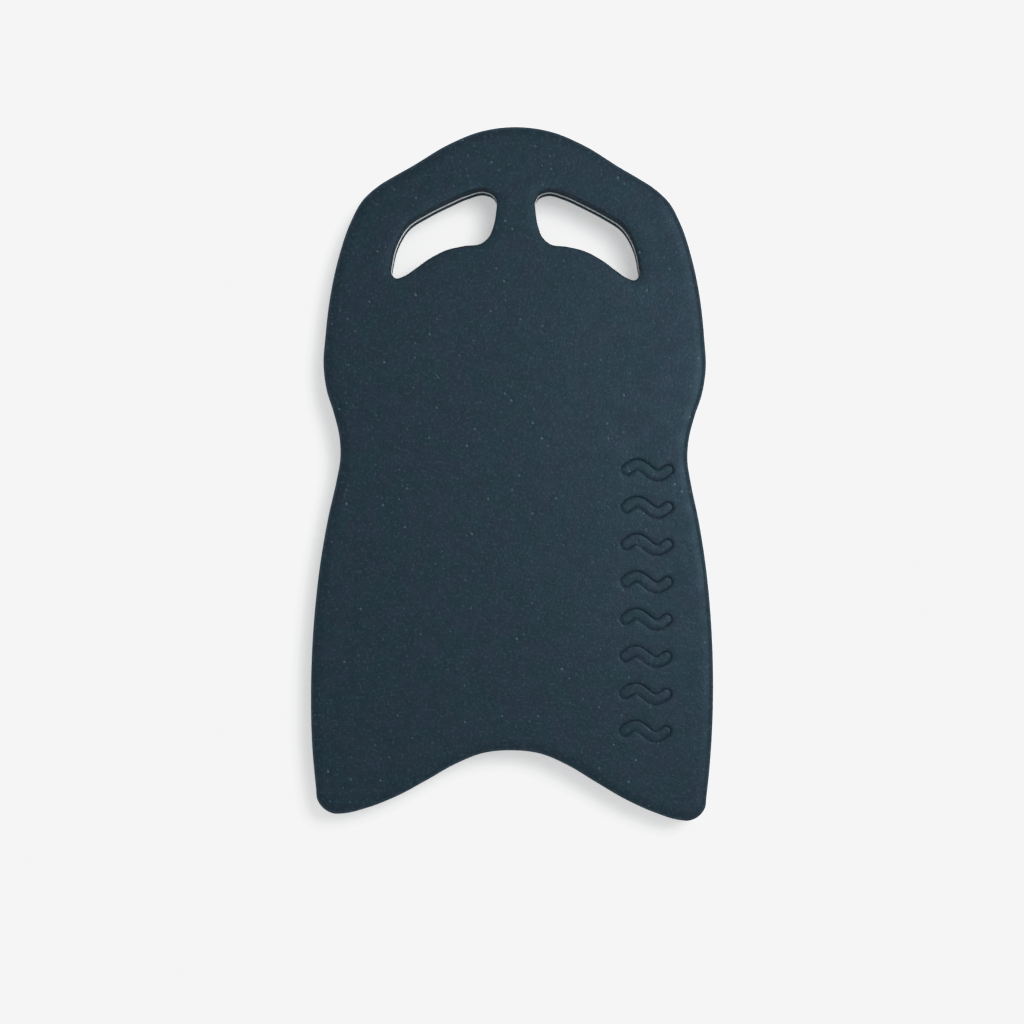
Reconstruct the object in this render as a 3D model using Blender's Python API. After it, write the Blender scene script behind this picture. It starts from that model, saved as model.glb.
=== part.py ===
"""Kickboard float: a swimming board made of three bonded sheets of closed-cell foam.

Metres, +Z up. The board lies flat on its lower face with its nose towards +Y.
The origin is under the middle of its box, on the plane that the board rests on.
The three sheets share one outline and two finger holes. They are an upper slab, a thin
pale core sheet that shows as a line in the edge, and a lower slab.
"""

import math

import bmesh
import bpy
from mathutils import Vector
from mathutils.geometry import interpolate_bezier

MM = 0.001

# Thickness, from the rest plane up
THICKNESS = 34 * MM
CORE_THICKNESS = 2.5 * MM
BOND_GAP = 0.3 * MM  # stands for the adhesive film on each side of the core sheet
CORE_BASE = (THICKNESS - CORE_THICKNESS) / 2
CORE_TOP = CORE_BASE + CORE_THICKNESS

# Rounded rims of the two slabs
OUTER_RIM = 4 * MM
HOLE_RIM = 1.2 * MM
RIM_STEPS = 3

# Smoothness of the outlines: straight pieces in each span between two key points
OUTLINE_STEPS = 3
HOLE_STEPS = 2

# Right half of the board's outline in mm, nose first. The tail tip is an arc between the two lists.
NOSE_TO_TAIL_TIP = [
    (0, 232.4),
    (24, 229.2),
    (46, 220.1),
    (70, 205.5),
    (82, 198.6),
    (92, 192.4),
    (103, 182.2),
    (110.8, 167.8),
    (118, 146.5),
    (123.8, 120),
    (127.2, 91),
    (128.3, 71),
    (126, 54.5),
    (121, 39),
    (117.2, 23),
    (116.5, 10),
    (119, -6),
    (124.2, -30),
    (129.5, -62),
    (133.2, -98),
    (135, -147.5),
    (134, -182),
]
TAIL_TIP_CENTRE = Vector((117, -218.2))
TAIL_TIP_RADIUS = 14.2
TAIL_TIP_ANGLES = (8, -22, -52, -82, -106)
LEFT_TAIL_TRIM = 2.8  # by which the left tail tip is shorter than the right one
TAIL_TRIM_FROM = -185  # y below which the trim acts
TAIL_TRIM_FADE = 2.5  # power of the distance from the middle, by which it fades from the tip to the notch
TAIL_TIP_TO_NOTCH = [
    (96, -226.8),
    (76, -217.9),
    (56, -206.4),
    (38, -195.8),
    (19, -188),
    (0, -186),
]

# Right finger hole in mm, anticlockwise from the top of the bridge between the holes
HOLE_OUTLINE = [
    (15.2, 187.8),
    (12.9, 183.2),
    (13.2, 175.2),
    (15.3, 164.3),
    (17.8, 158.4),
    (22.6, 154),
    (34.9, 151.9),
    (45.8, 149.3),
    (57.8, 143.2),
    (67.7, 136),
    (74.7, 131.4),
    (80.3, 130),
    (83.6, 134),
    (83.1, 142.3),
    (79.9, 154.3),
    (72.7, 166.2),
    (59.8, 174.8),
    (45.8, 182),
    (32.9, 187.8),
    (21.4, 190.4),
]

# Sunk row of water waves along the right side of the upper face
WAVE_COUNT = 8
WAVE_PITCH = 25 * MM
WAVE_CENTRE_X = 89.5 * MM
FIRST_WAVE_Y = -172 * MM
WAVE_LENGTH = 27.5 * MM  # of the centre line, which is one full wave
WAVE_HEIGHT = 3.6 * MM  # of the centre line's crest above its middle
WAVE_STROKE = 7 * MM
WAVE_DEPTH = 1.2 * MM
WAVE_STEPS = 8
WAVE_END_STEPS = 3

NAVY_FOAM = (0.024, 0.043, 0.060, 1.0)
PALE_FOAM = (0.86, 0.90, 0.93, 1.0)
FOAM_ROUGHNESS = 0.85
SHARP_ANGLE = 35  # degrees between faces, above which an edge is shaded as a sharp one


def remove_old_objects():
    """Empty the scene without touching the file's other data."""
    for old in list(bpy.data.objects):
        bpy.data.objects.remove(old, do_unlink=True)


def travel(before, here, after):
    """Direction of travel at a point of a curve, weighted towards its nearer neighbour."""
    back = here - before
    ahead = after - here
    pull = back.normalized() * ahead.length + ahead.normalized() * back.length
    return pull / (back.length + ahead.length)


def smooth_loop(points, steps):
    """Closed curve through the points, with a Bezier span of some steps between neighbours."""
    loop = []
    count = len(points)
    for i in range(count):
        before, start, end, after = (points[(i + k) % count] for k in (-1, 0, 1, 2))
        reach = (end - start).length / 3
        leaving = start + travel(before, start, end) * reach
        arriving = end - travel(start, end, after) * reach
        loop += interpolate_bezier(start, leaving, arriving, end, steps + 1)[:-1]
    return loop


def arc(centre, radius, angles):
    """Points of an arc at the given angles in degrees."""
    turned = [math.radians(angle) for angle in angles]
    return [centre + radius * Vector((math.cos(a), math.sin(a))) for a in turned]


def left_point(point):
    """The left half's point opposite one of the right half, trimmed near the tail tip."""
    trim = 0
    if point.y < TAIL_TRIM_FROM:
        trim = LEFT_TAIL_TRIM * (point.x / TAIL_TIP_CENTRE.x) ** TAIL_TRIM_FADE
    return Vector((-point.x, point.y + trim))


def board_outline():
    """Board's outline, clockwise from the nose, so the foam is on the right of the way round."""
    right = [Vector(point) for point in NOSE_TO_TAIL_TIP]
    right += arc(TAIL_TIP_CENTRE, TAIL_TIP_RADIUS, TAIL_TIP_ANGLES)
    right += [Vector(point) for point in TAIL_TIP_TO_NOTCH]
    left = [left_point(point) for point in reversed(right[1:-1])]
    return smooth_loop([point * MM for point in right + left], OUTLINE_STEPS)


def hole_outlines():
    """Both finger holes, anticlockwise, so the foam is again on the right of the way round."""
    right = [Vector(point) * MM for point in HOLE_OUTLINE]
    left = [Vector((-point.x, point.y)) for point in reversed(right)]
    return [smooth_loop(points, HOLE_STEPS) for points in (right, left)]


def wave_outline(centre):
    """Outline of one wave bar: the two sides of a sine line and its half-round ends."""
    half = WAVE_STROKE / 2
    lower, upper = [], []
    for i in range(WAVE_STEPS + 1):
        along = i / WAVE_STEPS
        phase = 2 * math.pi * along
        middle = centre + Vector(((along - 0.5) * WAVE_LENGTH, WAVE_HEIGHT * math.sin(phase)))
        slope = WAVE_HEIGHT * math.cos(phase) * 2 * math.pi / WAVE_LENGTH
        across = Vector((-slope, 1)).normalized() * half
        lower.append(middle - across)
        upper.append(middle + across)
    end_slope = math.atan(WAVE_HEIGHT * 2 * math.pi / WAVE_LENGTH)
    start_middle = (lower[0] + upper[0]) / 2
    end_middle = (lower[-1] + upper[-1]) / 2
    turns = [180 * k / WAVE_END_STEPS for k in range(1, WAVE_END_STEPS)]
    tilt = math.degrees(end_slope)
    end_cap = arc(end_middle, half, [tilt - 90 + turn for turn in turns])
    start_cap = arc(start_middle, half, [tilt + 90 + turn for turn in turns])
    return lower + end_cap + upper[::-1] + start_cap


def wave_outlines():
    """Outlines of the row of waves."""
    centres = [Vector((WAVE_CENTRE_X, FIRST_WAVE_Y + i * WAVE_PITCH)) for i in range(WAVE_COUNT)]
    return [wave_outline(centre) for centre in centres]


def ring(bm, loop, inset, height):
    """Vertices of a loop moved into the foam by inset, at one height."""
    verts = []
    count = len(loop)
    for i, here in enumerate(loop):
        along = travel(loop[i - 1], here, loop[(i + 1) % count]).normalized()
        moved = here + inset * Vector((along.y, -along.x))
        verts.append(bm.verts.new((moved.x, moved.y, height)))
    return verts


def close_loop(bm, verts):
    """Edges that join the vertices of a ring in order."""
    found = []
    for i, vert in enumerate(verts):
        following = verts[(i + 1) % len(verts)]
        edge = bm.edges.get((vert, following))
        found.append(edge or bm.edges.new((vert, following)))
    return found


def wall(bm, loop, profile):
    """Wall that follows a loop down a profile of insets and heights; returns its end rings."""
    rings = [ring(bm, loop, inset, height) for inset, height in profile]
    count = len(loop)
    for above, below in zip(rings, rings[1:]):
        for i in range(count):
            j = (i + 1) % count
            bm.faces.new((above[i], above[j], below[j], below[i]))
    return rings[0], rings[-1]


def cap(bm, rings):
    """Flat face between rings that lie in one plane."""
    edges = [edge for verts in rings for edge in close_loop(bm, verts)]
    bmesh.ops.triangle_fill(bm, use_beauty=True, use_dissolve=False, edges=edges)


def rounded_profile(rim, face, away):
    """Insets and heights from a flat face round its rim to the far side of the slab."""
    towards = 1 if away > face else -1
    profile = []
    for i in range(RIM_STEPS + 1):
        angle = math.pi / 2 * i / RIM_STEPS
        profile.append((rim * (1 - math.sin(angle)), face + towards * rim * (1 - math.cos(angle))))
    return profile + [(0, away)]


def straight_profile(_rim, face, away):
    """Insets and heights of a plain cut edge."""
    return [(0, face), (0, away)]


def foam_material(name, colour):
    """Matt closed-cell foam of one colour."""
    material = bpy.data.materials.new(name)
    material.use_nodes = True
    shader = material.node_tree.nodes["Principled BSDF"]
    shader.inputs["Base Color"].default_value = colour
    shader.inputs["Roughness"].default_value = FOAM_ROUGHNESS
    shader.inputs["Metallic"].default_value = 0.0
    material.diffuse_color = colour
    return material


def add_sheet(name, colour, face, away, profile_of, recesses=()):
    """One foam sheet between two heights, with both finger holes and any sunk shapes in its face."""
    bm = bmesh.new()
    face_rings, away_rings = [], []
    loops = [(board_outline(), OUTER_RIM)] + [(loop, HOLE_RIM) for loop in hole_outlines()]
    for loop, rim in loops:
        first, last = wall(bm, loop, profile_of(rim, face, away))
        face_rings.append(first)
        away_rings.append(last)
    for loop in recesses:
        first, last = wall(bm, loop, [(0, face), (0, face - WAVE_DEPTH)])
        face_rings.append(first)
        cap(bm, [last])
    cap(bm, face_rings)
    cap(bm, away_rings)
    bmesh.ops.recalc_face_normals(bm, faces=bm.faces)
    mesh = bpy.data.meshes.new(name)
    bm.to_mesh(mesh)
    bm.free()
    mesh.materials.append(foam_material(name, colour))
    mesh.shade_smooth()
    mesh.set_sharp_from_angle(angle=math.radians(SHARP_ANGLE))
    sheet = bpy.data.objects.new(name, mesh)
    bpy.context.scene.collection.objects.link(sheet)
    return sheet


def build_board():
    """The three sheets, held together by one empty."""
    board = bpy.data.objects.new("kickboard", None)
    bpy.context.scene.collection.objects.link(board)
    sheets = [
        add_sheet(
            "upper_foam_slab",
            NAVY_FOAM,
            THICKNESS,
            CORE_TOP + BOND_GAP,
            rounded_profile,
            wave_outlines(),
        ),
        add_sheet("pale_core_sheet", PALE_FOAM, CORE_TOP, CORE_BASE, straight_profile),
        add_sheet("lower_foam_slab", NAVY_FOAM, 0.0, CORE_BASE - BOND_GAP, rounded_profile),
    ]
    for sheet in sheets:
        sheet.parent = board


remove_old_objects()
build_board()
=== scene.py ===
"""Looks of the kickboard float: three bonded sheets of closed-cell foam, on a pale studio floor.

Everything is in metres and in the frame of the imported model. Each sheet's plain solid is replaced
by a finely meshed one with the same outline, height and holes, a soft rim, a slightly uneven
face and, on the upper slab, a sunk row of waves.
"""

import math

import bmesh
import bpy
import numpy as np
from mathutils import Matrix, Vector, noise
from mathutils.geometry import delaunay_2d_cdt, interpolate_bezier


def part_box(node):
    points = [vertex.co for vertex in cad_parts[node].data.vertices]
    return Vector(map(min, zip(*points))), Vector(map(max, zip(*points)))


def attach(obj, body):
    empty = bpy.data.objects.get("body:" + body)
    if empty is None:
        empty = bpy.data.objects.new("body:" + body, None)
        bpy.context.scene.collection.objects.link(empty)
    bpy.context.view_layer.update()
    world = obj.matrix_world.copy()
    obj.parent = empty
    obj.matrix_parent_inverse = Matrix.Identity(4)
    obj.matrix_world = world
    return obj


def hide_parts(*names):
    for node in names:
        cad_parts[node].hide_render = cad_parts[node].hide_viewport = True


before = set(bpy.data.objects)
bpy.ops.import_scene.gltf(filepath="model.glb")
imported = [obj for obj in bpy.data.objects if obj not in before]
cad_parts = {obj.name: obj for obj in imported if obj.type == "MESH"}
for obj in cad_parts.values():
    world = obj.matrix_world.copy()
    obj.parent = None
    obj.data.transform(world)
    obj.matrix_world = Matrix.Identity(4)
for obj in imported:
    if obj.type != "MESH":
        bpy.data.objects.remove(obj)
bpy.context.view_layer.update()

MM = 0.001

# ---------------------------------------------------------------- outlines, in mm

# Right half of the board, nose first. The tail tip is an arc between the two lists.
NOSE_TO_TAIL_TIP = [
    (0, 232.4),
    (24, 229.2),
    (46, 220.1),
    (70, 205.5),
    (82, 198.6),
    (92, 192.4),
    (103, 182.2),
    (110.8, 167.8),
    (118, 146.5),
    (123.8, 120),
    (127.2, 91),
    (128.3, 71),
    (126, 54.5),
    (121, 39),
    (117.2, 23),
    (116.5, 10),
    (119, -6),
    (124.2, -30),
    (129.5, -62),
    (133.2, -98),
    (135, -147.5),
    (134, -182),
]
TAIL_TIP_CENTRE = Vector((117, -218.2))
TAIL_TIP_RADIUS = 14.2
TAIL_TIP_ANGLES = (8, -22, -52, -82, -106)
LEFT_TAIL_TRIM = 2.8  # by which the left tail tip is shorter than the right one
TAIL_TRIM_FROM = -185  # y below which the trim acts
TAIL_TRIM_FADE = 2.5  # power of the distance from the middle, which sets how it fades to the notch
TAIL_TIP_TO_NOTCH = [
    (96, -226.8),
    (76, -217.9),
    (56, -206.4),
    (38, -195.8),
    (19, -188),
    (0, -186),
]

# Right finger hole, anticlockwise from the top of the bridge between the holes
HOLE_OUTLINE = [
    (15.2, 187.8),
    (12.9, 183.2),
    (13.2, 175.2),
    (15.3, 164.3),
    (17.8, 158.4),
    (22.6, 154),
    (34.9, 151.9),
    (45.8, 149.3),
    (57.8, 143.2),
    (67.7, 136),
    (74.7, 131.4),
    (80.3, 130),
    (83.6, 134),
    (83.1, 142.3),
    (79.9, 154.3),
    (72.7, 166.2),
    (59.8, 174.8),
    (45.8, 182),
    (32.9, 187.8),
    (21.4, 190.4),
]
OUTLINE_STEPS = 14  # straight pieces between two key points
HOLE_STEPS = 8

# ---------------------------------------------------------------- foam sheets

OUTER_RIM = 4 * MM
HOLE_RIM = 1.2 * MM
RIM_STEPS = 9
SLOPE_REACH = 8 * MM  # from the edge inwards, where the face falls gently towards its rim
SLOPE_DROP = 0.35 * MM
SLOPE_STEPS = 5
CUT_EDGE_DROP = 1.4 * MM  # below the face, where the skin gives way to the cut edge
SEAM_GAP = 0.06 * MM  # between a slab and the core sheet
SHARP_ANGLE = 50  # degrees between faces, above which an edge is shaded as a sharp one

# Insets of a slab's edge where it meets the core, and distances from the bond
BOND_EDGE = [(0.3 * MM, 0.0), (0.08 * MM, 0.08 * MM), (0.0, 0.35 * MM)]
CORE_LIP = 0.45 * MM  # by which the core stands proud of the slabs in the finger holes
# Insets and shares of the thickness of the core sheet's rounded edge
CORE_EDGE = [
    (0.3 * MM, 0.0),
    (0.08 * MM, 0.04),
    (0.0, 0.15),
    (0.0, 0.85),
    (0.08 * MM, 0.96),
    (0.3 * MM, 1.0),
]

FACE_SPACING = 2.1 * MM  # of the mesh points on the upper face
UNDERSIDE_SPACING = 4.5 * MM
BORDER_CLEARANCE = 0.7  # share of the spacing that those points keep from the rings round them
GRID_BLOCK = 2000  # points tested against the rings at a time

# Slow rise and fall of the upper face, and its fine unevenness: height, scale and slice of the noise
SWELL_HEIGHT, SWELL_SCALE, SWELL_SLICE = 0.22 * MM, 13, 3.1
RIPPLE_HEIGHT, RIPPLE_SCALE, RIPPLE_SLICE = 0.035 * MM, 120, 7.7

# Sunk row of water waves
WAVE_COUNT = 8
WAVE_PITCH = 25 * MM
WAVE_CENTRE_X = 89.5 * MM
FIRST_WAVE_Y = -172 * MM
WAVE_LENGTH = 27.5 * MM  # of the centre line, which is one full wave
WAVE_HEIGHT = 3.6 * MM  # of the centre line's crest above its middle
WAVE_STROKE = 7 * MM
WAVE_STEPS = 30
WAVE_END_STEPS = 12
# Distance outside the stroke's edge and height: a sloping lip, a steep wall, a crease and a floor
WAVE_PROFILE = [
    (1.5 * MM, 0.0),
    (1.25 * MM, -0.04 * MM),
    (0.85 * MM, -0.15 * MM),
    (0.45 * MM, -0.29 * MM),
    (0.2 * MM, -0.50 * MM),
    (0.0, -0.80 * MM),
    (-0.15 * MM, -1.15 * MM),
    (-0.35 * MM, -1.30 * MM),
    (-0.7 * MM, -1.26 * MM),
    (-1.2 * MM, -1.10 * MM),
    (-1.9 * MM, -1.05 * MM),
]


def travel(before, here, after):
    """Direction of travel at a point of a curve, weighted towards its nearer neighbour."""
    back = here - before
    ahead = after - here
    pull = back.normalized() * ahead.length + ahead.normalized() * back.length
    return pull / (back.length + ahead.length)


def smooth_loop(points, steps):
    """Closed curve through the points, with a Bezier span of some steps between neighbours."""
    loop = []
    count = len(points)
    for i in range(count):
        before, start, end, after = (points[(i + k) % count] for k in (-1, 0, 1, 2))
        reach = (end - start).length / 3
        leaving = start + travel(before, start, end) * reach
        arriving = end - travel(start, end, after) * reach
        loop += interpolate_bezier(start, leaving, arriving, end, steps + 1)[:-1]
    return loop


def arc(centre, radius, angles):
    """Points of an arc at the given angles in degrees."""
    turned = [math.radians(angle) for angle in angles]
    return [centre + radius * Vector((math.cos(a), math.sin(a))) for a in turned]


def left_point(point):
    """The left half's point opposite one of the right half, trimmed near the tail tip."""
    trim = 0
    if point.y < TAIL_TRIM_FROM:
        trim = LEFT_TAIL_TRIM * (point.x / TAIL_TIP_CENTRE.x) ** TAIL_TRIM_FADE
    return Vector((-point.x, point.y + trim))


def board_outline():
    """Board's outline, clockwise from the nose, so the foam is on the right of the way round."""
    right = [Vector(point) for point in NOSE_TO_TAIL_TIP]
    right += arc(TAIL_TIP_CENTRE, TAIL_TIP_RADIUS, TAIL_TIP_ANGLES)
    right += [Vector(point) for point in TAIL_TIP_TO_NOTCH]
    left = [left_point(point) for point in reversed(right[1:-1])]
    return smooth_loop([point * MM for point in right + left], OUTLINE_STEPS)


def hole_outlines():
    """Both finger holes, anticlockwise, so the foam is again on the right of the way round."""
    right = [Vector(point) * MM for point in HOLE_OUTLINE]
    left = [Vector((-point.x, point.y)) for point in reversed(right)]
    return [smooth_loop(points, HOLE_STEPS) for points in (right, left)]


def inset_loop(loop, inset):
    """The loop moved into the foam by inset."""
    count = len(loop)
    moved = []
    for i, here in enumerate(loop):
        along = travel(loop[i - 1], here, loop[(i + 1) % count]).normalized()
        moved.append(here + inset * Vector((along.y, -along.x)))
    return moved


def wave_outline(centre, half):
    """Outline of one wave bar: both sides of a sine line, half a stroke away, and round ends."""
    lower, upper = [], []
    for i in range(WAVE_STEPS + 1):
        along = i / WAVE_STEPS
        phase = 2 * math.pi * along
        middle = centre + Vector(((along - 0.5) * WAVE_LENGTH, WAVE_HEIGHT * math.sin(phase)))
        slope = WAVE_HEIGHT * math.cos(phase) * 2 * math.pi / WAVE_LENGTH
        across = Vector((-slope, 1)).normalized() * half
        lower.append(middle - across)
        upper.append(middle + across)
    tilt = math.degrees(math.atan(WAVE_HEIGHT * 2 * math.pi / WAVE_LENGTH))
    turns = [180 * k / WAVE_END_STEPS for k in range(1, WAVE_END_STEPS)]
    end_cap = arc((lower[-1] + upper[-1]) / 2, half, [tilt - 90 + turn for turn in turns])
    start_cap = arc((lower[0] + upper[0]) / 2, half, [tilt + 90 + turn for turn in turns])
    return lower + end_cap + upper[::-1] + start_cap


def swell(x, y):
    """Height by which the upper face stands above or below its plane."""
    slow = noise.noise(Vector((x * SWELL_SCALE, y * SWELL_SCALE, SWELL_SLICE)))
    fine = noise.noise(Vector((x * RIPPLE_SCALE, y * RIPPLE_SCALE, RIPPLE_SLICE)))
    return SWELL_HEIGHT * slow + RIPPLE_HEIGHT * fine


class Sheet:
    """Mesh of one foam sheet, built ring by ring between the heights of its face and its bond."""

    def __init__(self, face, bond, uneven):
        """Empty sheet, whose face follows the swell by a share from 0 to 1."""
        self.bm = bmesh.new()
        self.face = face
        self.bond = bond
        self.uneven = uneven

    def vert(self, point, height):
        """Vertex at a place and height, lifted with the face's swell, less so nearer the bond."""
        share = (height - self.bond) / (self.face - self.bond)
        lift = self.uneven * max(0.0, min(1.0, share)) * swell(point.x, point.y)
        return self.bm.verts.new((point.x, point.y, height + lift))

    def ring(self, loop, height):
        """Vertices of a loop at one height."""
        return [self.vert(point, height) for point in loop]

    def bridge(self, rings):
        """Quads between rings of equal length."""
        for above, below in zip(rings, rings[1:]):
            count = len(above)
            for i in range(count):
                j = (i + 1) % count
                self.bm.faces.new((above[i], above[j], below[j], below[i]))

    def fill(self, rings, spacing):
        """Flat stretch between rings in one plane, with a staggered grid of points inside."""
        flat = [[vert.co.to_2d() for vert in ring] for ring in rings]
        height = sum(vert.co.z for vert in rings[0]) / len(rings[0])
        points, edges = [], []
        for loop in flat:
            start = len(points)
            points += loop
            edges += [(start + i, start + (i + 1) % len(loop)) for i in range(len(loop))]
        verts = [vert for ring in rings for vert in ring]
        if spacing:
            for point in grid_inside(flat, spacing):
                points.append(point)
                verts.append(self.vert(point, height))
        places, _, faces, origins = delaunay_2d_cdt(points, edges, [], 0, 1e-7)[:4]
        middles = np.array([sum((places[i] for i in face), Vector((0, 0))) / 3 for face in faces])
        for face, kept in zip(faces, inside(flat, middles)):
            if kept:
                self.bm.faces.new([verts[origins[i][0]] for i in face])

    def mark_edge(self, start, end):
        """Give the faces between two heights the second material, that of a cut edge."""
        low, high = sorted((start, end))
        for face in self.bm.faces:
            if low <= face.calc_center_median().z <= high:
                face.material_index = 1

    def finish(self, name):
        """The sheet as an object."""
        bmesh.ops.recalc_face_normals(self.bm, faces=self.bm.faces)
        mesh = bpy.data.meshes.new(name)
        self.bm.to_mesh(mesh)
        self.bm.free()
        mesh.shade_smooth()
        mesh.set_sharp_from_angle(angle=math.radians(SHARP_ANGLE))
        sheet = bpy.data.objects.new(name, mesh)
        bpy.context.scene.collection.objects.link(sheet)
        return sheet


def inside(loops, places):
    """For each place, whether an odd number of the loops' edges lie to its right."""
    odd = np.zeros(len(places), bool)
    for loop in loops:
        ends = np.array(loop)
        starts = np.roll(ends, 1, axis=0)
        for (x0, y0), (x1, y1) in zip(starts, ends):
            if y0 == y1:
                continue
            spans = (places[:, 1] > y0) != (places[:, 1] > y1)
            crossing = x0 + (places[:, 1] - y0) * (x1 - x0) / (y1 - y0)
            odd ^= spans & (places[:, 0] < crossing)
    return odd


def grid_inside(loops, spacing):
    """Points of a staggered grid that lie between the loops, clear of them by most of a step."""
    border = np.array([point for loop in loops for point in loop])
    low, high = border.min(axis=0), border.max(axis=0)
    row_step = spacing * math.sqrt(3) / 2
    rows = int((high[1] - low[1]) / row_step) + 1
    columns = int((high[0] - low[0]) / spacing) + 1
    xs, ys = np.meshgrid(np.arange(columns) * spacing, np.arange(rows) * row_step)
    xs = xs + (np.arange(rows) % 2)[:, None] * spacing / 2
    places = np.column_stack([low[0] + xs.ravel(), low[1] + ys.ravel()])
    places = places[inside(loops, places)]
    clear = np.ones(len(places), bool)
    for start in range(0, len(places), GRID_BLOCK):
        block = places[start : start + GRID_BLOCK]
        gaps = np.linalg.norm(block[:, None] - border[None], axis=2).min(axis=1)
        clear[start : start + GRID_BLOCK] = gaps > BORDER_CLEARANCE * spacing
    return [Vector(place) for place in places[clear]]


def rim_profile(rim, face, bond):
    """Insets and heights from the face, along its gentle slope and round the rim to the bond."""
    away = 1 if bond > face else -1
    profile = []
    for i in range(SLOPE_STEPS):
        share = i / SLOPE_STEPS
        inset = rim + (SLOPE_REACH - rim) * (1 - share)
        profile.append((inset, face + away * SLOPE_DROP * share**2))
    for i in range(RIM_STEPS + 1):
        angle = math.pi / 2 * i / RIM_STEPS
        drop = SLOPE_DROP + rim * (1 - math.cos(angle))
        profile.append((rim * (1 - math.sin(angle)), face + away * drop))
    return profile + [(inset, bond - away * rise) for inset, rise in reversed(BOND_EDGE)]


def slab(name, face, bond, uneven, spacing, recesses=()):
    """A dark foam slab with rounded rims and, where asked, shapes sunk into its face."""
    sheet = Sheet(face, bond, uneven)
    face_rings, bond_rings = [], []
    edges = [(board_outline(), OUTER_RIM)] + [(loop, HOLE_RIM) for loop in hole_outlines()]
    for loop, rim in edges:
        profile = rim_profile(rim, face, bond)
        rings = [sheet.ring(inset_loop(loop, inset), height) for inset, height in profile]
        sheet.bridge(rings)
        face_rings.append(rings[0])
        bond_rings.append(rings[-1])
    for centre in recesses:
        rings = []
        for outset, height in WAVE_PROFILE:
            rings.append(sheet.ring(wave_outline(centre, WAVE_STROKE / 2 + outset), face + height))
        sheet.bridge(rings)
        face_rings.append(rings[0])
        sheet.fill([rings[-1]], None)
    sheet.fill(face_rings, spacing)
    sheet.fill(bond_rings, None)
    away = 1 if bond > face else -1
    sheet.mark_edge(face + away * CUT_EDGE_DROP, bond)
    return sheet.finish(name)


def core(name, top, base):
    """The pale sheet between the slabs, with a lip round the finger holes."""
    sheet = Sheet(top, base, 0)
    top_rings, base_rings = [], []
    for loop, lip in [(board_outline(), 0)] + [(loop, CORE_LIP) for loop in hole_outlines()]:
        rings = []
        for inset, share in CORE_EDGE:
            rings.append(sheet.ring(inset_loop(loop, inset - lip), top + share * (base - top)))
        sheet.bridge(rings)
        top_rings.append(rings[0])
        base_rings.append(rings[-1])
    sheet.fill(top_rings, None)
    sheet.fill(base_rings, None)
    return sheet.finish(name)


# ---------------------------------------------------------------- materials

# Foam colours
SLATE = (0.0138, 0.0212, 0.0345, 1)
TEAL = (0.0101, 0.0233, 0.0314, 1)
# Paler grain of the foam, and also the painted highlight on the lips of open cells
PALE_GRAIN_AND_PAINTED_HIGHLIGHT = (0.060, 0.105, 0.120, 1)
# Dark blotches of the foam, and also painted shade in the pits of open cells and in creases
DARK_BLOTCH_AND_PAINTED_SHADE = (0.0040, 0.0085, 0.0120, 1)
CUT_SLATE = (0.034, 0.056, 0.082, 1)  # of the sides, where the foam is cut
CUT_TEAL = (0.027, 0.058, 0.076, 1)
SKIN_TINT = (0.47, 0.77, 1.0, 1)  # of the faces' soft gloss
PALE = (0.92, 0.95, 0.97, 1)
PALE_SHADE = (0.82, 0.87, 0.91, 1)

# Scales of the noises, as features to a metre
MOTTLE_SCALE = 55
BLOTCH_SCALE = 190
GRAIN_SCALE = 500
CLUSTER_SCALE = 85  # of the patches where open cells are common
GLOSS_SCALE = 70
PEBBLE_SCALE = 800
SOFT_BUMP_SCALE = 260
CUT_CELL_SCALE = 900

SKIN_ROUGHNESS = (0.42, 0.50)
SKIN_SPECULAR = 0.28
EDGE_ROUGHNESS = 0.92
EDGE_SPECULAR = 0.04
PALE_ROUGHNESS = (0.75, 0.9)

# Open cells in the skin, each drawn as painted shade in a dark pit and, shifted beside it, a painted
# highlight on its lip
SPOT_SCALE = 200
SPOT_SHARE = 0.5  # of the cells that hold a spot
SPOT_FULL = 0.6  # of those, the part whose spots are at full strength
SPOT_SIZES = (0.09, 0.19)  # radii, as shares of a cell
# Colour, strength and shift of the pattern
PAINTED_PIT_SHADE_AND_LIP_HIGHLIGHT = ((DARK_BLOTCH_AND_PAINTED_SHADE, 0.95, (0, 0, 0)), (PALE_GRAIN_AND_PAINTED_HIGHLIGHT, 0.85, (1.0 * MM, 0.6 * MM, 0)))


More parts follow.
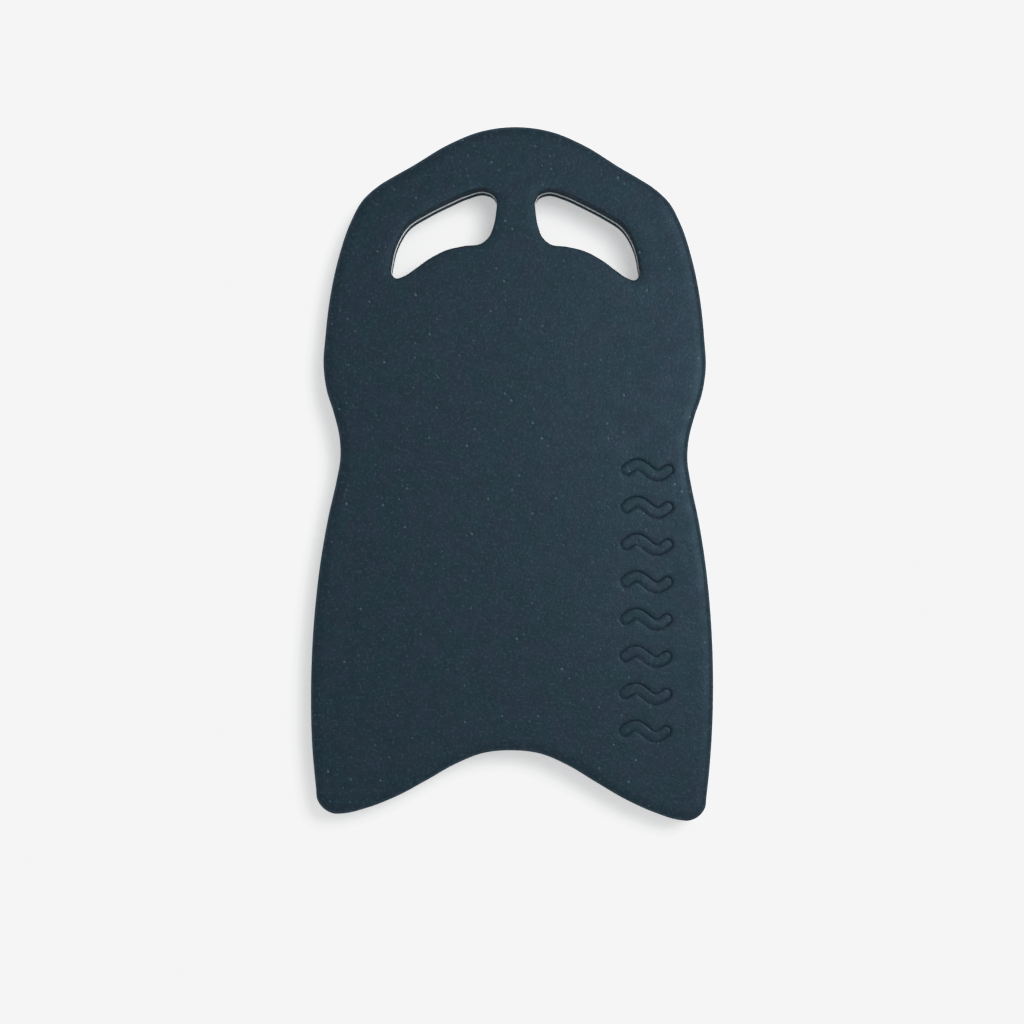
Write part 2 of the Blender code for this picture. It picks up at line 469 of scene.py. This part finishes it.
class Nodes:
    """Short way to write one material's node tree."""

    def __init__(self, name):
        """New material, whose textures follow the object's own coordinates."""
        self.material = bpy.data.materials.new(name)
        self.material.use_nodes = True
        self.tree = self.material.node_tree
        self.shader = self.tree.nodes["Principled BSDF"]
        self.place = self.add("ShaderNodeTexCoord").outputs["Object"]

    def add(self, kind, **settings):
        """New node of a kind, with its settings."""
        node = self.tree.nodes.new(kind)
        for key, value in settings.items():
            setattr(node, key, value)
        return node

    def feed(self, socket, value):
        """Link a socket to another, or set its value."""
        if isinstance(value, bpy.types.NodeSocket):
            self.tree.links.new(value, socket)
        else:
            socket.default_value = value

    def noise(self, scale, detail=2.0, roughness=0.5, distortion=0.0):
        """Soft noise, from 0 to 1."""
        node = self.add("ShaderNodeTexNoise")
        self.feed(node.inputs["Vector"], self.place)
        self.feed(node.inputs["Scale"], scale)
        self.feed(node.inputs["Detail"], detail)
        self.feed(node.inputs["Roughness"], roughness)
        self.feed(node.inputs["Distortion"], distortion)
        return node.outputs["Fac"]

    def cells(self, scale, feature="F1", shift=(0, 0, 0)):
        """Cell pattern, moved by a shift in metres."""
        moved = self.add("ShaderNodeVectorMath", operation="ADD")
        self.feed(moved.inputs[0], self.place)
        self.feed(moved.inputs[1], shift)
        node = self.add("ShaderNodeTexVoronoi", feature=feature)
        self.feed(node.inputs["Vector"], moved.outputs[0])
        self.feed(node.inputs["Scale"], scale)
        return node

    def ramp(self, value, low, high, to_low=0.0, to_high=1.0):
        """The value stretched from one range to another and clamped."""
        node = self.add("ShaderNodeMapRange", interpolation_type="SMOOTHSTEP")
        for socket, item in zip(node.inputs[:5], (value, low, high, to_low, to_high)):
            self.feed(socket, item)
        return node.outputs["Result"]

    def maths(self, operation, first, second):
        """Result of an operation on two values."""
        node = self.add("ShaderNodeMath", operation=operation)
        self.feed(node.inputs[0], first)
        self.feed(node.inputs[1], second)
        return node.outputs[0]

    def blend(self, amount, first, second):
        """Colour between two colours."""
        node = self.add("ShaderNodeMix", data_type="RGBA")
        self.feed(node.inputs[0], amount)
        self.feed(node.inputs[6], first)
        self.feed(node.inputs[7], second)
        return node.outputs[2]

    def bump(self, height, distance, strength, below=None):
        """Normal tilted by a height, on top of the normal below it."""
        node = self.add("ShaderNodeBump")
        self.feed(node.inputs["Height"], height)
        self.feed(node.inputs["Distance"], distance)
        self.feed(node.inputs["Strength"], strength)
        if below is not None:
            self.feed(node.inputs["Normal"], below)
        return node.outputs["Normal"]


def foam_bump(nodes):
    """Fine closed-cell grain: pebbles about a millimetre across, in a softer unevenness."""
    pebbles = nodes.cells(PEBBLE_SCALE, "SMOOTH_F1").outputs["Distance"]
    soft = nodes.noise(SOFT_BUMP_SCALE, detail=3.0, roughness=0.6)
    first = nodes.bump(soft, distance=0.5 * MM, strength=0.22)
    domes = nodes.maths("MULTIPLY", pebbles, -1.0)
    return nodes.bump(domes, distance=0.6 * MM, strength=0.14, below=first)


def spots(nodes, scale, share, shift):
    """Round dots of uneven size and strength, in a share of the cells of a shifted pattern."""
    cells = nodes.cells(scale, shift=shift)
    split = nodes.add("ShaderNodeSeparateColor")
    nodes.feed(split.inputs[0], cells.outputs["Color"])
    chosen = nodes.ramp(split.outputs[0], 1.0 - share, 1.0 - SPOT_FULL * share)
    size = nodes.ramp(split.outputs[1], 0.0, 1.0, *SPOT_SIZES)
    near = nodes.maths("LESS_THAN", cells.outputs["Distance"], size)
    return nodes.maths("MULTIPLY", near, chosen)


def foam_colour(nodes, slate, teal):
    """Dark blue-grey with a faint teal mottle and fine grain, painted shade in creases and in the pits
    of clustered open cells, and painted highlights beside the pits.
    """
    mottle = nodes.noise(MOTTLE_SCALE, detail=3.0, roughness=0.55, distortion=0.4)
    base = nodes.blend(nodes.ramp(mottle, 0.38, 0.64), slate, teal)
    blotches = nodes.noise(BLOTCH_SCALE)
    base = nodes.blend(nodes.ramp(blotches, 0.35, 0.65, to_high=0.3), base, DARK_BLOTCH_AND_PAINTED_SHADE)
    grain = nodes.noise(GRAIN_SCALE, detail=3.0, roughness=0.65)
    base = nodes.blend(nodes.ramp(grain, 0.50, 0.74, to_high=0.34), base, PALE_GRAIN_AND_PAINTED_HIGHLIGHT)
    cluster = nodes.ramp(nodes.noise(CLUSTER_SCALE), 0.42, 0.62, to_low=0.2)
    # Painted shade in each open cell's pit, then a painted highlight on the lip beside it
    for colour, strength, shift in PAINTED_PIT_SHADE_AND_LIP_HIGHLIGHT:
        amount = nodes.maths("MULTIPLY", spots(nodes, SPOT_SCALE, SPOT_SHARE, shift), cluster)
        base = nodes.blend(nodes.maths("MULTIPLY", amount, strength), base, colour)
    # Painted shade: concave places, such as creases and the corners of the sunk waves, are darkened
    pointed = nodes.add("ShaderNodeNewGeometry").outputs["Pointiness"]
    painted_crease_shade = nodes.ramp(pointed, 0.44, 0.49, to_low=0.7, to_high=0.0)
    return nodes.blend(painted_crease_shade, base, DARK_BLOTCH_AND_PAINTED_SHADE)


def foam_skin():
    """Moulded skin of a dark slab's face, with a soft tinted gloss."""
    nodes = Nodes("navy_foam_skin")
    nodes.feed(nodes.shader.inputs["Base Color"], foam_colour(nodes, SLATE, TEAL))
    uneven = nodes.noise(GLOSS_SCALE, detail=3.0)
    nodes.feed(nodes.shader.inputs["Roughness"], nodes.ramp(uneven, 0.3, 0.7, *SKIN_ROUGHNESS))
    nodes.feed(nodes.shader.inputs["Specular IOR Level"], SKIN_SPECULAR)
    nodes.feed(nodes.shader.inputs["Specular Tint"], SKIN_TINT)
    nodes.feed(nodes.shader.inputs["Normal"], foam_bump(nodes))
    return nodes.material


def foam_edge():
    """Matt side of a dark slab, where the foam was cut and its open cells look paler."""
    nodes = Nodes("navy_foam_edge")
    nodes.feed(nodes.shader.inputs["Base Color"], foam_colour(nodes, CUT_SLATE, CUT_TEAL))
    nodes.feed(nodes.shader.inputs["Roughness"], EDGE_ROUGHNESS)
    nodes.feed(nodes.shader.inputs["Specular IOR Level"], EDGE_SPECULAR)
    nodes.feed(nodes.shader.inputs["Normal"], foam_bump(nodes))
    return nodes.material


def pale_foam():
    """Near-white foam with a blue tinge, cut so that its open cells show."""
    nodes = Nodes("pale_foam_cut")
    cells = nodes.ramp(nodes.noise(CUT_CELL_SCALE, detail=3.0, roughness=0.6), 0.35, 0.7)
    nodes.feed(nodes.shader.inputs["Base Color"], nodes.blend(cells, PALE_SHADE, PALE))
    nodes.feed(nodes.shader.inputs["Roughness"], nodes.ramp(cells, 0.0, 1.0, *PALE_ROUGHNESS))
    nodes.feed(nodes.shader.inputs["Normal"], nodes.bump(cells, distance=0.4 * MM, strength=0.5))
    return nodes.material


# ---------------------------------------------------------------- studio

FLOOR_HALF = 30.0  # half of its side
FLOOR_DROP = 0.02 * MM  # below the lower face
FLOOR_COLOUR = (0.80, 0.80, 0.80, 1)
FLOOR_ROUGHNESS = 0.95
FLOOR_GLOW = 0.38  # the floor is lit from below too, as a light table is

# Each disc light's distance, degrees from overhead, degrees from +X towards +Y, width and power.
# The key gives the even light and the shadows, and the sheen light only the faces' soft gloss.
KEY_LIGHT = (1.8, 26, 42, 0.9, 17.5)
SHEEN_LIGHT = (1.5, 24, 12, 0.7, 11.2)
# Height of a direction's unit vector, and the sky's brightness there. It meets the far floor's own
# brightness at the horizon.
SKY = [(0.0, 0.80), (0.12, 0.80), (0.35, 0.50), (1.0, 0.50)]

# Film response from light in to light out: straight to the shoulder, then flatter to just under white
FILM = [(0.0, 0.0), (0.86, 0.86), (0.97, 0.913)]

CAMERA_OVER = Vector((-0.0010, -0.0260))  # place on the board that it stands over
CAMERA_RISE = 1.404  # above the upper face
CAMERA_LENS = 73.75  # focal length in millimetres
CAMERA_ROLL = 0.46  # degrees


def add_floor():
    """Large matt floor under the board."""
    bm = bmesh.new()
    bmesh.ops.create_grid(bm, x_segments=1, y_segments=1, size=FLOOR_HALF)
    mesh = bpy.data.meshes.new("floor")
    bm.to_mesh(mesh)
    bm.free()
    nodes = Nodes("floor_paper")
    nodes.feed(nodes.shader.inputs["Base Color"], FLOOR_COLOUR)
    nodes.feed(nodes.shader.inputs["Roughness"], FLOOR_ROUGHNESS)
    nodes.feed(nodes.shader.inputs["Specular IOR Level"], 0.0)
    nodes.feed(nodes.shader.inputs["Emission Color"], (1, 1, 1, 1))
    nodes.feed(nodes.shader.inputs["Emission Strength"], FLOOR_GLOW)
    mesh.materials.append(nodes.material)
    floor = bpy.data.objects.new("floor", mesh)
    floor.location.z = -FLOOR_DROP
    bpy.context.scene.collection.objects.link(floor)


def add_disc(name, distance, zenith, bearing, width, power):
    """Soft disc of light that faces the origin."""
    light = bpy.data.lights.new(name, "AREA")
    light.shape = "DISK"
    light.size = width
    light.energy = power
    disc = bpy.data.objects.new(name, light)
    tilt, turn = math.radians(zenith), math.radians(bearing)
    across = math.sin(tilt)
    towards = Vector((across * math.cos(turn), across * math.sin(turn), math.cos(tilt)))
    disc.location = distance * towards
    disc.rotation_euler = (0, tilt, turn)
    disc.visible_camera = False
    bpy.context.scene.collection.objects.link(disc)
    return disc


def add_light():
    """Key light, sheen light and a sky that is brighter near the horizon."""
    add_disc("key", *KEY_LIGHT).visible_glossy = False
    add_disc("sheen", *SHEEN_LIGHT).visible_diffuse = False

    world = bpy.data.worlds.new("studio")
    world.use_nodes = True
    bpy.context.scene.world = world
    tree = world.node_tree
    direction = tree.nodes.new("ShaderNodeTexCoord")
    split = tree.nodes.new("ShaderNodeSeparateXYZ")
    sky = tree.nodes.new("ShaderNodeValToRGB")
    tree.links.new(direction.outputs["Generated"], split.inputs[0])
    tree.links.new(split.outputs["Z"], sky.inputs["Fac"])
    tree.links.new(sky.outputs["Color"], tree.nodes["Background"].inputs["Color"])
    stops = sky.color_ramp.elements
    stops.remove(stops[1])
    for height, _ in SKY[1:]:
        stops.new(height)
    for stop, (_, grey) in zip(stops, SKY):
        stop.color = (grey, grey, grey, 1)


def add_camera(height):
    """Camera that looks straight down, slightly rolled."""
    lens = bpy.data.cameras.new("camera")
    lens.lens = CAMERA_LENS
    camera = bpy.data.objects.new("camera", lens)
    camera.location = (CAMERA_OVER.x, CAMERA_OVER.y, height + CAMERA_RISE)
    camera.rotation_euler = (0, 0, math.radians(CAMERA_ROLL))
    bpy.context.scene.collection.objects.link(camera)
    bpy.context.scene.camera = camera


def set_film():
    """Standard colours, with brightness past white rolled off to a very pale grey."""
    film = bpy.context.scene.view_settings
    film.view_transform = "Standard"
    film.look = "None"
    film.use_curve_mapping = True
    mapping = film.curve_mapping
    mapping.extend = "HORIZONTAL"
    curve = mapping.curves[3]
    curve.points.new(*FILM[1])
    for point, place in zip(curve.points, FILM):
        point.location = place
        point.handle_type = "VECTOR"
    mapping.update()


# ---------------------------------------------------------------- the object

upper_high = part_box("upper_foam_slab")[1]
core_low, core_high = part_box("pale_core_sheet")
lower_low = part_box("lower_foam_slab")[0]

wave_centres = [Vector((WAVE_CENTRE_X, FIRST_WAVE_Y + i * WAVE_PITCH)) for i in range(WAVE_COUNT)]
upper = slab(
    "upper_slab_foam",
    upper_high.z,
    core_high.z + SEAM_GAP,
    1.0,
    FACE_SPACING,
    wave_centres,
)
middle = core("core_sheet_foam", core_high.z, core_low.z)
lower = slab("lower_slab_foam", lower_low.z, core_low.z - SEAM_GAP, 0.0, UNDERSIDE_SPACING)

navy = (foam_skin(), foam_edge())
for piece, node, materials, slot in (
    (upper, "upper_foam_slab", navy, "navy_foam"),
    (middle, "pale_core_sheet", (pale_foam(),), "pale_foam"),
    (lower, "lower_foam_slab", navy, "navy_foam"),
):
    for material in materials:
        piece.data.materials.append(material)
    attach(piece, "root")
    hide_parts(node)

add_floor()
add_light()
add_camera(upper_high.z)
set_film()
